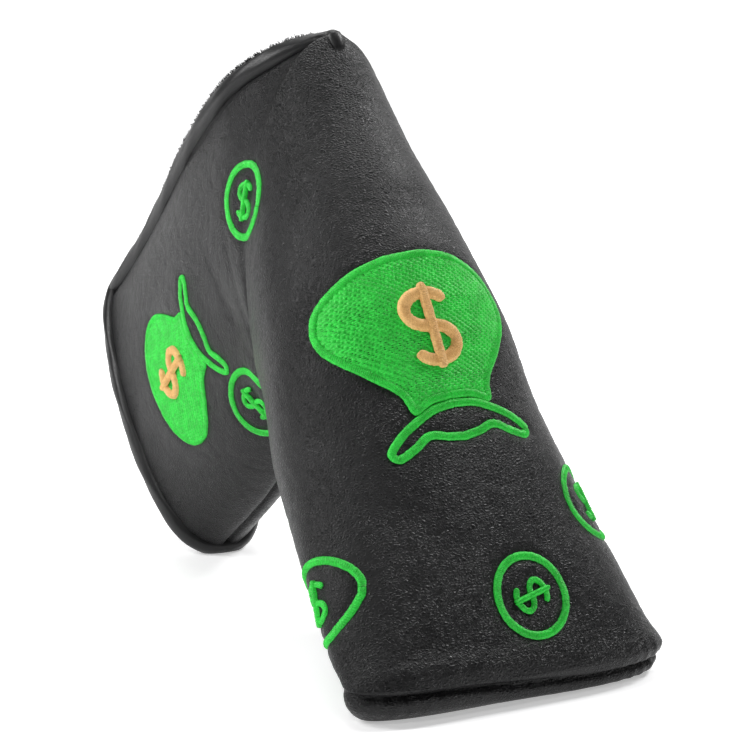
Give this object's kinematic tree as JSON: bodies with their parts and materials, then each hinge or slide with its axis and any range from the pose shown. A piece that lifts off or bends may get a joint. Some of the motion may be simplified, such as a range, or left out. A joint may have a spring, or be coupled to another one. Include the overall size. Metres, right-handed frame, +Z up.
{
  "type": "putter head cover",
  "caption": "Padded black leather cover for a blade putter head, with embroidered money motifs, a bound mouth and two neck flaps that fold open.",
  "frame": {"origin": "middle of the footprint, on the floor the cover stands on", "axes": "+Z up, -Y towards the toe, +Y towards the end of the neck, X across; X = 0 is the middle plane"},
  "size_m": [0.081, 0.1933, 0.1394],
  "materials": {
    "leather": "grained, semi-matt black",
    "binding": "smooth, satin black",
    "foam": "matt grey padding",
    "plush": "deep black pile",
    "green_thread": "glossy embroidery thread",
    "gold_thread": "glossy embroidery thread",
    "hook_and_loop": "matt black hook and loop"
  },
  "bodies": {
    "pocket": {"pocket_leather": "leather", "pocket_foam": "foam", "pocket_lining": "plush", "binding_apex": "binding", "binding_neck": "binding", "bag_front_outline": "green_thread", "bag_front_fill": "green_thread", "bag_front_ruffle": "green_thread", "bag_front_dollar": "gold_thread", "bag_left_outline": "green_thread", "bag_left_fill": "green_thread", "bag_left_ruffle": "green_thread", "bag_left_dollar": "gold_thread", "bag_right_outline": "green_thread", "bag_right_fill": "green_thread", "bag_right_ruffle": "green_thread", "bag_right_dollar": "gold_thread", "coin_neck_left_ring": "green_thread", "coin_neck_left_dollar": "green_thread", "coin_neck_right_ring": "green_thread", "coin_neck_right_dollar": "green_thread", "coin_elbow_left_ring": "green_thread", "coin_elbow_left_dollar": "green_thread", "coin_elbow_right_ring": "green_thread", "coin_elbow_right_dollar": "green_thread", "coin_toe_front_ring": "green_thread", "coin_toe_front_dollar": "green_thread", "coin_toe_left_ring": "green_thread", "coin_toe_left_dollar": "green_thread", "coin_toe_right_ring": "green_thread", "coin_toe_right_dollar": "green_thread"},
    "flap_left": {"flap_left_leather": "leather", "flap_left_foam": "foam", "flap_left_lining": "plush", "binding_left": "binding", "hook_tape": "hook_and_loop"},
    "flap_right": {"flap_right_leather": "leather", "flap_right_foam": "foam", "flap_right_lining": "plush", "binding_right": "binding", "loop_tape": "hook_and_loop"}
  },
  "joints": [
    {"name": "flap_left_fold", "type": "hinge", "parent": "pocket", "child": "flap_left", "pos_m": [-0.0186, 0.05363, 0.06774], "axis": [0, -0.2957, 0.9553], "range_deg": [0, 35], "stiffness_Nm_per_rad": 0.15},
    {"name": "flap_right_fold", "type": "hinge", "parent": "pocket", "child": "flap_right", "pos_m": [0.0186, 0.05363, 0.06774], "axis": [0, 0.2957, -0.9553], "range_deg": [0, 35], "stiffness_Nm_per_rad": 0.15}
  ]
}
